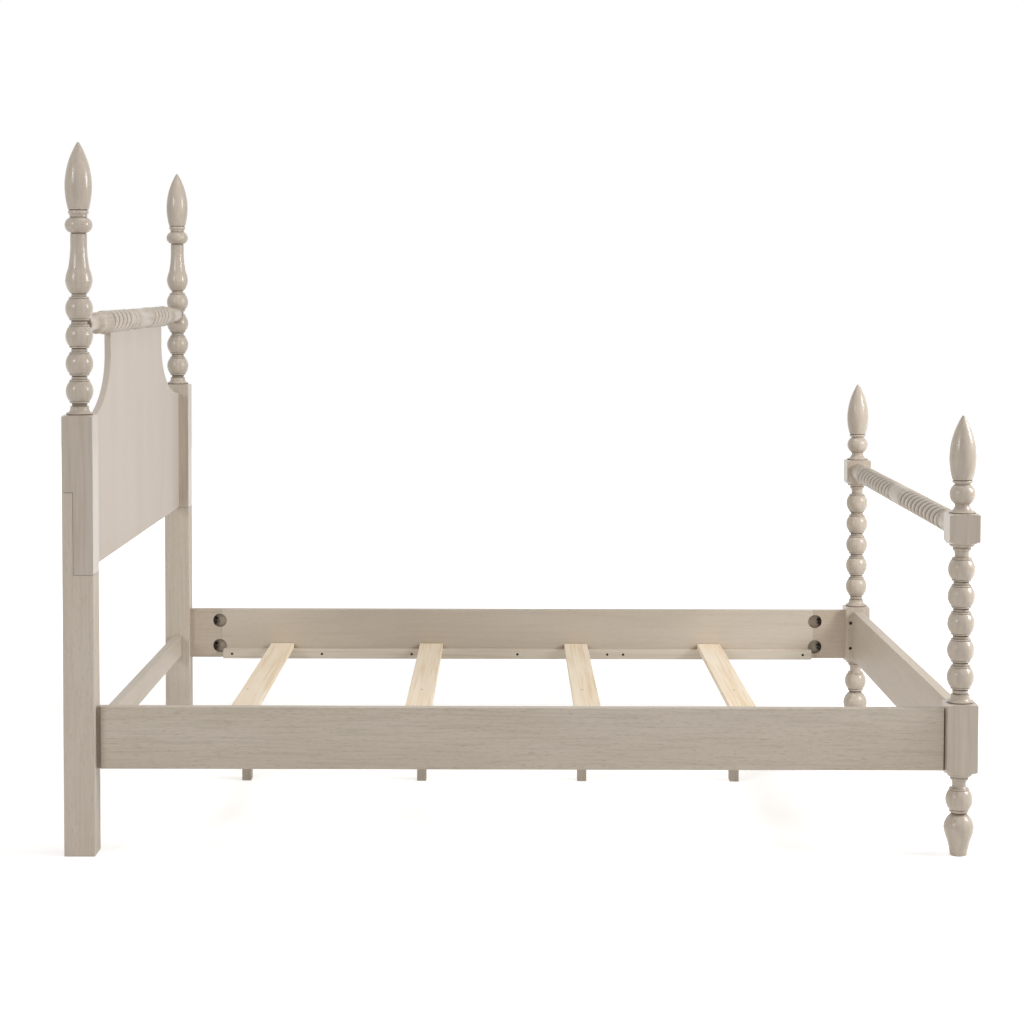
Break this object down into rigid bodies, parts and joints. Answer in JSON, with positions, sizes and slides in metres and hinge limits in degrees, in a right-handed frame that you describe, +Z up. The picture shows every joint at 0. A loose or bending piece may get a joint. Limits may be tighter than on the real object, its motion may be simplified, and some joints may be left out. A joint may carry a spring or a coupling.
{
  "type": "spindle bed",
  "caption": "Bed with bead-turned head and foot posts, a shaped head panel, carved top rails, side rails and slats on ledgers.",
  "frame": {"origin": "on the floor under the middle of the bed", "axes": "+X from the head towards the foot, +Y from the near side to the far side, +Z up"},
  "size_m": [2.219, 1.637, 1.733],
  "materials": {
    "washed_oak_turned": "washed oak, satin lacquer",
    "washed_oak_board": "washed oak, satin lacquer",
    "plain_softwood": "planed, stained grey",
    "pale_pine": "planed, unfinished",
    "zinc_steel": "zinc plated, dull"
  },
  "bodies": {
    "root": {"barrel_nuts": "zinc_steel", "bed_studs": "zinc_steel", "centre_leg_1": "plain_softwood", "centre_leg_2": "plain_softwood", "centre_leg_3": "plain_softwood", "centre_leg_4": "plain_softwood", "centre_leg_screws": "zinc_steel", "finial_pins": "pale_pine", "foot_block_far": "washed_oak_board", "foot_block_near": "washed_oak_board", "foot_board_dowels": "pale_pine", "foot_finial_far": "washed_oak_turned", "foot_finial_near": "washed_oak_turned", "foot_low_board": "washed_oak_board", "foot_post_far": "washed_oak_turned", "foot_post_near": "washed_oak_turned", "foot_top_rail": "washed_oak_turned", "half_moon_washers": "zinc_steel", "head_block_far": "washed_oak_board", "head_block_near": "washed_oak_board", "head_finial_far": "washed_oak_turned", "head_finial_near": "washed_oak_turned", "head_leg_far": "washed_oak_board", "head_leg_near": "washed_oak_board", "head_panel": "washed_oak_board", "head_post_far": "washed_oak_turned", "head_post_near": "washed_oak_turned", "head_stretcher": "washed_oak_board", "head_top_rail": "washed_oak_turned", "hex_nuts": "zinc_steel", "lap_bolts": "zinc_steel", "lap_inserts": "zinc_steel", "lap_washers": "zinc_steel", "ledger_far": "plain_softwood", "ledger_near": "plain_softwood", "ledger_screws_far": "zinc_steel", "ledger_screws_near": "zinc_steel", "side_rail_far": "washed_oak_board", "side_rail_near": "washed_oak_board", "slat_1": "pale_pine", "slat_2": "pale_pine", "slat_3": "pale_pine", "slat_4": "pale_pine", "stretcher_dowels": "pale_pine", "stud_inserts": "zinc_steel"}
  },
  "joints": []
}
